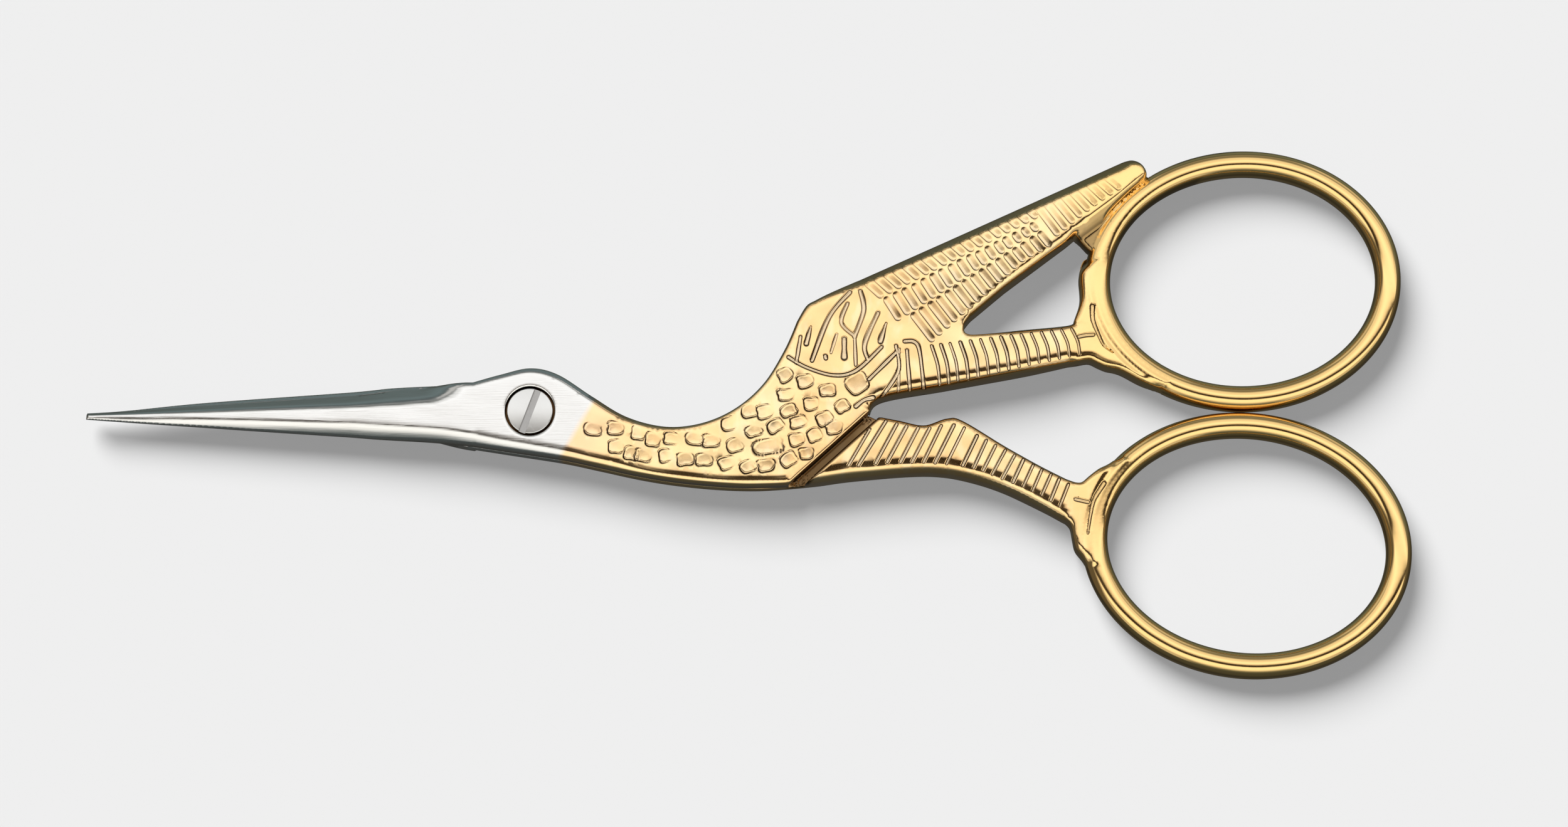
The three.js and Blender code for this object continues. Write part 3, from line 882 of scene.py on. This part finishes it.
# Upper leg: bowed ribs from its top edge over its lower edge
ribs = []
for i in range(15):
    x = 34.9 + 0.8 * i if i < 2 else 36.5 + 0.885 * (i - 2)
    top = 5.95 + 0.13 * (x - 36.5)
    foot = x + 0.68
    low = 2.75 + 0.225 * (foot - 37.2)
    line = [(x, top), ((x + foot) / 2 + 0.17, (top + low) / 2), (foot, low)]
    ribs.append(cut_mark(line, 0.32 + wobble(0.04), 0.11 + wobble(0.015)))

# Shoulder: long strokes, a forked stroke, drops and the line that parts it from the breast
shoulder_cuts = [cut_mark(*cut) for cut in (
    ([(27.8, 10.5), (26, 8.3), (24.5, 4.45)], 0.42, 0.12),
    ([(27.6, 9.5), (27.05, 7.8), (28.2, 6.6)], 0.36, 0.11),
    ([(28.7, 10.6), (29, 8.9), (28.2, 6.55)], 0.42, 0.12),
    ([(28.2, 6.55), (28.3, 4.05)], 0.34, 0.1),
    ([(30.25, 8.65), (29.1, 5.95), (29.3, 4.65)], 0.42, 0.12),
    ([(30.95, 7.75), (30.45, 6.15)], 0.55, 0.12, 0.6),
    ([(24.4, 7.45), (24, 5.95)], 0.55, 0.12, 0.6),
    ([(23.5, 6.55), (23.15, 4.35)], 0.36, 0.1),
    ([(25.65, 4.85), (25.7, 4.65)], 0.42, 0.1),
    ([(27.3, 6.35), (27.3, 4.75)], 0.58, 0.12, 0.25),
    ([(26.65, 6.75), (26.15, 5.15)], 0.3, 0.05),
    ([(22.45, 4.75), (24, 3.85), (26.35, 3.15), (28.3, 3.55), (30.55, 5.65)], 0.36, 0.12),
    ([(29.45, 2.8), (31.8, 5.15)], 0.4, 0.12),
    ([(31.8, 5.75), (32, 3.55), (30.5, 1.2)], 0.36, 0.1),
    ([(32.55, 6.15), (33.4, 6.1), (33.85, 5.25), (34.2, 2.1)], 0.36, 0.12),
    ([(32.75, 5.35), (33, 1.9)], 0.36, 0.11),
    ([(32.05, 5.45), (32, 1.45)], 0.3, 0.06),
    ([(28.3, 0.4), (29, 0.95), (29.8, 1.2)], 0.42, 0.09),
)]
for cut in shoulder_cuts:
    cut["half"] *= 1.12
    cut["uneven"] = 0.1

# Knuckle: a bird's foot
upper_foot = [
    cut_mark([(50.7, 5.25), (49.9, 5.9), (49.43, 6.9), (48.97, 8.2), (48.95, 9.35)],
             0.56, 0.1, 0.7),
    cut_mark([(47.75, 6.65), (48.4, 6.78), (49, 6.82)], 0.4, 0.08),
]

# Neck and body: rounded scales, each struck with a punch held a little askew
scale_places = [
    (5.5, -1.6), (7.45, -1.55), (9.45, -1.95), (10.7, -2.55), (12.35, -2.45), (14.3, -2.45),
    (15.75, -2.65), (17.3, -1.15), (19.05, 0), (20.4, -0.1), (22.15, 3.15), (23.9, 2.6),
    (25.85, 1.8), (28.4, 2.4), (22.25, 1.4), (24.4, 0.6), (27.1, 0.4), (22.45, 0), (23.3, -1),
    (21.3, -1.35), (19.45, -1.75), (25.55, -0.7), (26.4, -1.45), (17.8, -3.05), (20.7, -3.15),
    (23.15, -2.55), (24.7, -2.15), (24, -3.75), (7.5, -3.15), (8.85, -3.75), (9.85, -3.95),
    (11.85, -3.95), (13.5, -4.25), (15.15, -4.3), (17.1, -4.6), (18.95, -4.9), (20.5, -4.8),
    (22.45, -4.3),
]
wide_scales = {(28.4, 2.4): (1.9, 1.7), (20.7, -3.15): (2.6, 1.3)}
scales = []
for place in scale_places:
    size = wide_scales.get(place, (1.35 + wobble(0.15), 1.1 + wobble(0.12)))
    follow, even = 0.0 if place[0] < 17 else 0.35, 0.55 if place[0] < 20 else 0.8
    scales.append(scale_punch(place, size, follow + wobble(0.25), 0.095 + wobble(0.02),
                              math.radians(215) + wobble(0.8), even + wobble(0.15)))

front_half = half_of_pair("stork_front_half", {
    "outline": front_outline, "ring": upper_ring, "step": (rear_groove_low, rear_groove_high),
    "bore": 1.34, "crest": front_crest, "edge_line": front_edge,
    "joints": [((53, 20), 1.9), ((50.6, 17.8), 2), ((48.4, 14.6), 2), ((48.8, 9.5), 2.4),
               ((50, 4.6), 2.6), ((53.4, 3), 2.2)],
    "painted_shade": lambda xy: 0.36 * smooth_step((web_valley(xy) - 0.3) / 0.5),
    "both_sides": lambda mark: mark_box(mark)[0][0] > groove_high[0],
}, feathers + ribs + shoulder_cuts + upper_foot + scales, 1)


# Finish of both halves: steel brushed and polished along the blades, gold plate from the neck
# back, with fine scratches, soft dents, and dark brown for dirt in the cuts and for painted
# shade in the cuts, creases, bevels, grooves and round the screw.
def plated_finish(name):
    finish, tree, shader = blank_material(name)
    place = tree.nodes.new("ShaderNodeTexCoord").outputs["Object"]
    x, y, _ = joined("ShaderNodeSeparateXYZ", i0=place).outputs
    cloud = joined("ShaderNodeTexNoise", Vector=place, Scale=260)
    slant = plus(x, times(y, -0.56))
    ragged = plus(slant, times(cloud.outputs["Fac"], 0.0005))
    plated = soft_range(ragged, 0.0048, 0.0056)

    def streaks(sizes, detail):
        stretch = joined("ShaderNodeMapping", Vector=place, Scale=sizes).outputs[0]
        return joined("ShaderNodeTexNoise", Vector=stretch, Scale=1, Detail=detail).outputs["Fac"]

    def of_point(label):
        attribute = tree.nodes.new("ShaderNodeAttribute")
        attribute.attribute_name = label
        return attribute.outputs["Fac"]

    brushing = streaks((300, 14000, 6000), 3)
    patches = streaks((160, 160, 160), 2)
    carving, grime_and_shade = of_point("carving"), of_point("grime_and_shade")
    sunk = soft_range(carving, 0.12, 0.7)
    # Dark brown where the points are marked: dirt in the cuts, with painted shade on their walls,
    # in creases, on bevels, in the web valley, the lap groove and the screw's counterbore.
    dirt_and_shade = times(soft_range(grime_and_shade, 0.05, 0.55), soft_range(patches, 0.1, 0.4))
    clouded = soft_range(patches, 0.35, 0.7)
    gold = tinted(clouded, (0.95, 0.63, 0.3, 1), (0.98, 0.72, 0.38, 1))
    rubbed = soft_range(streaks((900, 380, 500), 2), 0.5, 0.72)
    gold = tinted(times(rubbed, 0.35), gold, (0.96, 0.79, 0.55, 1))
    warm = opposite(soft_range(slant, 0.0055, 0.011))
    gold = tinted(times(warm, 0.5), gold, (0.97, 0.66, 0.42, 1))
    gold = tinted(times(sunk, 0.55), gold, (0.9, 0.79, 0.6, 1))
    # Painted shade: the rings are given a deeper, darker gold for the look of their round bars.
    gold = tinted(soft_range(x, 0.045, 0.0505), gold, (0.97, 0.66, 0.275, 1))
    steel = tinted(brushing, (0.74, 0.738, 0.73, 1), (0.86, 0.855, 0.848, 1))
    metal = tinted(plated, steel, gold)
    metal = tinted(dirt_and_shade, metal, (0.055, 0.026, 0.009, 1))
    steel_rough = plus(0.1, times(brushing, 0.16))
    gold_rough = plus(plus(0.07, times(patches, 0.09)), times(sunk, 0.2))
    rough = joined("ShaderNodeMix", i0=plated, i2=steel_rough, i3=gold_rough).outputs[0]
    grain = times(streaks((7000, 7000, 7000), 3), sunk)
    dents = streaks((700, 700, 700), 2)
    on_steel = times(brushing, opposite(plated))
    relief = plus(on_steel, plus(times(dents, 1.2), grain))
    bump = joined("ShaderNodeBump", Strength=0.25, Distance=0.00002, Height=relief).outputs[0]
    fill(shader, Base_Color=metal, Metallic=1, Roughness=rough, Normal=bump)
    return finish


plated_steel = plated_finish("gold_plated_steel")
front_half.data.materials.append(plated_steel)
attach(front_half, "front")
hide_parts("front_half")
front_half.visible_diffuse = False

# Rear half: the forging underneath, with its own blade, the threaded head, the body that lies
# under the front one, and the lower leg and ring. Plated and cut like the front half.
lower_ring = {
    "x": 62.2, "y": -11.527, "long": 24.2, "short": 18.8, "bar": 2.25, "lean": -6.4, "high": 1.45,
}
lower_leg = (24.8, 47.85)
leg_bottom = [(0, -6.2), (0.139, -5.78), (0.356, -5.36), (0.486, -5.42), (0.607, -6),
              (0.725, -6.96), (0.859, -8.5), (0.928, -9.4)]
leg_top = [(0.23, -0.42), (0.312, -0.78), (0.408, -1.2), (0.495, -0.6), (0.555, -0.82),
           (0.72, -3.15), (0.842, -4.72), (0.946, -5.9)]
toe_above = np.array([
    (163.9, 1.6), (162.9, 1.15), (159.5, 0.85), (155, 0.5), (151, 0.1), (144, -0.15),
])
toe_below = np.array([
    (199, -0.15), (194.5, 0.1), (190, 0.6), (186, 0.75), (180.8, 1), (178.8, 1.45),
])
step_high, step_low = moved(rear_groove_high, rear_groove_low, 0.5)
toe_in_bar = ring_point(lower_ring, np.linspace(toe_below[0, 0], toe_above[-1, 0], 26), -1.24)
toe_below_line = through(ring_point(lower_ring, *toe_below[::-1].T))
toe_above_line = through(ring_point(lower_ring, *toe_above[::-1].T))
rear_back = through(beak_top[::-1], 0.18)
rear_bottom = through([*throat_and_breast, *on_leg(lower_leg, leg_bottom)])
toe_tip = straight([rear_bottom[-1], toe_below_line[0]])
rear_leg_top = on_leg(lower_leg, leg_top)
toe_back = straight([toe_above_line[-1], rear_leg_top[-1]])
rear_outline = closed([
    edged(through(rear_edge, 0.33), 0, 0, 0.01),
    edged(rear_bottom, [0.9, 0.5, 0.5, 0.95, 0.95, 0.9], 0.45, [0.25, 0.3, 0.3, 0.55, 0.55, 0.5],
          0, [0, 0, 0.1, 0.34, 0.34, 0.3]),
    edged(toe_tip, [0.9, 0.6], 0.45, [0.5, 0.25], 0, [0.3, 0]),
    edged(toe_below_line, [0.6, 0.3], 0.4, [0.25, 0.4, 0.7, 1.05]),
    edged(toe_in_bar, 0, 0, 0),
    edged(toe_above_line, 0.3, 0.4, [1.05, 0.7, 0.4, 0.3]),
    edged(toe_back, 0, 0, 0.15, 0.22),
    edged(through(rear_leg_top[::-1]), 0, 0, 0.15, 0.24),
    edged(straight([rear_leg_top[0], step_low, step_high, (23.2, 8)]), 0, 0, 0.2),
    edged(through(crown_and_back[::-1]), 0, 0, 0.2, [0.22, 0.2, 0.22, 0.4, 0.45, 0.3]),
    edged(rear_back, breast_reach(rear_back), 0.4, [0.2, 0.1]),
])
step_line = moved(groove_low, groove_high, 0.87)
rear_outline = split_by(rear_outline, *step_line)


def rear_crest(xy):
    """Height of the rear half's face away from the middle plane, before its edges and marks."""
    blade = half_gap + blade_land(xy, rear_edge, -1)
    return np.where(xy[:, 0] < -5.2, blade, half_thick - 0.45 * smooth_step((xy[:, 0] - 42) / 6))


# Lower leg: slanting cuts that run over its lower edge
leg_cuts = []
for top, foot in [
    ((29.5, -1.6), (27.65, -4.8)), ((30.9, -0.9), (28.5, -4.8)), ((31.85, -1.15), (30, -4.6)),
    ((32.7, -1.35), (31, -4.5)), ((33.7, -1.5), (32.15, -4.5)), ((34.7, -1.5), (33.15, -4.5)),
    ((35.7, -1.3), (34.15, -4.5)), ((36.8, -1.25), (35.15, -4.55)), ((37.7, -1.5), (36.15, -4.65)),
    ((38.8, -2.2), (37.55, -4.8)), ((39.6, -2.6), (38.5, -5)), ((40.4, -3.05), (39.3, -5.25)),
    ((41.25, -3.45), (40.1, -5.6)), ((42.05, -3.9), (40.95, -5.95)), ((42.8, -4.3), (41.9, -6.25)),
    ((43.65, -4.75), (42.8, -6.6)), ((44.4, -5.15), (43.6, -7)), ((45.2, -5.55), (44.4, -7.35)),
    ((45.9, -5.95), (45.15, -7.8)), ((46.7, -6.4), (45.95, -8.3)),
]:
    leg_cuts.append(cut_mark([top, foot], 0.34 + wobble(0.04), 0.12 + wobble(0.02)))
lower_foot = [
    cut_mark([(48.35, -10.7), (48.63, -8.9), (48.95, -7.65), (49.8, -6.3)], 0.52, 0.09, 0.6),
    cut_mark([(47.3, -7.7), (48.4, -7.95)], 0.38, 0.08),
]
back_cuts = [mark for mark in shoulder_cuts + scales if mark_box(mark)[1][0] < 33]
rear_half = half_of_pair("stork_rear_half", {
    "outline": rear_outline, "ring": lower_ring, "step": step_line, "bore": 1.15,
    "crest": rear_crest, "edge_line": rear_edge,
    "joints": [((51.3, -4.6), 2), ((49.5, -6.9), 2.2), ((49, -10), 2.2)],
    "painted_shade": lambda xy: np.zeros(len(xy)),
    "both_sides": lambda mark: any(mark is cut for cut in leg_cuts + lower_foot),
}, back_cuts + leg_cuts + lower_foot, -1)
rear_half.data.materials.append(plated_steel)
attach(rear_half, "rear")
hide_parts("rear_half")
rear_half.visible_diffuse = False

# Pivot screw: turned from steel bar, with a slotted flat head that sits in the front half's
# counterbore. Its thread ends flush with the back of the rear half.


def combined(piece, other, operation):
    """Joins a solid to the piece or cuts it out, after which it is gone."""
    step = piece.modifiers.new("combined", "BOOLEAN")
    step.operation = operation
    step.object = other
    pick(piece)
    bpy.ops.object.modifier_apply(modifier="combined")
    bpy.data.objects.remove(other)


bpy.ops.object.select_all(action="DESELECT")
bpy.ops.mesh.primitive_cylinder_add(vertices=96, radius=0.00199, depth=0.0009,
                                    location=(0, 0, 0.00355))
pivot_screw = bpy.context.object
pivot_screw.name = "slotted_pivot_screw"
bpy.ops.object.transform_apply()
bpy.ops.object.mode_set(mode="EDIT")
bpy.ops.mesh.select_all(action="DESELECT")
bpy.ops.object.mode_set(mode="OBJECT")
for polygon in pivot_screw.data.polygons:
    polygon.select = polygon.normal.z > 0.9
bpy.ops.object.mode_set(mode="EDIT")
bpy.ops.mesh.select_mode(type="FACE")
bpy.ops.mesh.bevel(offset=0.00009, segments=4, affect="EDGES")
bpy.ops.object.mode_set(mode="OBJECT")
for radius, low, high in ((0.0013, 0.002, 0.0033), (0.0011, 0.0, 0.0023)):
    bpy.ops.mesh.primitive_cylinder_add(vertices=64, radius=radius, depth=high - low,
                                        location=(0, 0, (low + high) / 2))
    bpy.ops.object.transform_apply()
    combined(pivot_screw, bpy.context.object, "UNION")
bpy.ops.mesh.primitive_cube_add(size=1, location=(0, 0, 0.004), rotation=(0, 0, math.radians(69.5)),
                                scale=(0.005, 0.00062, 0.0008))
bpy.ops.object.transform_apply()
combined(pivot_screw, bpy.context.object, "DIFFERENCE")
bpy.ops.object.shade_smooth_by_angle(angle=math.radians(40))

turned_steel, tree, shader = blank_material("turned_steel")
place = tree.nodes.new("ShaderNodeTexCoord").outputs["Object"]
rings = joined("ShaderNodeTexWave", Vector=place, Scale=5200, Distortion=1.5, Detail=2,
               Detail_Scale=1)
rings.wave_type, rings.rings_direction = "RINGS", "Z"
ringed = rings.outputs["Fac"]
height = joined("ShaderNodeSeparateXYZ", i0=place).outputs[2]
bright = tinted(ringed, (0.66, 0.66, 0.655, 1), (0.78, 0.78, 0.77, 1))
# Painted shade: the steel is drawn far darker below the head's top face, in the slot and down the
# sides.
lit_top = soft_range(height, 0.0035, 0.00395)
steel = tinted(lit_top, (0.36, 0.355, 0.35, 1), bright)
rough = plus(0.16, times(ringed, 0.1))
bump = joined("ShaderNodeBump", Strength=0.12, Distance=0.00001, Height=ringed).outputs[0]
fill(shader, Base_Color=steel, Metallic=1, Roughness=rough, Normal=bump)
pivot_screw.data.materials.append(turned_steel)
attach(pivot_screw, "rear")
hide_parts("pivot_screw")
pivot_screw.visible_diffuse = False
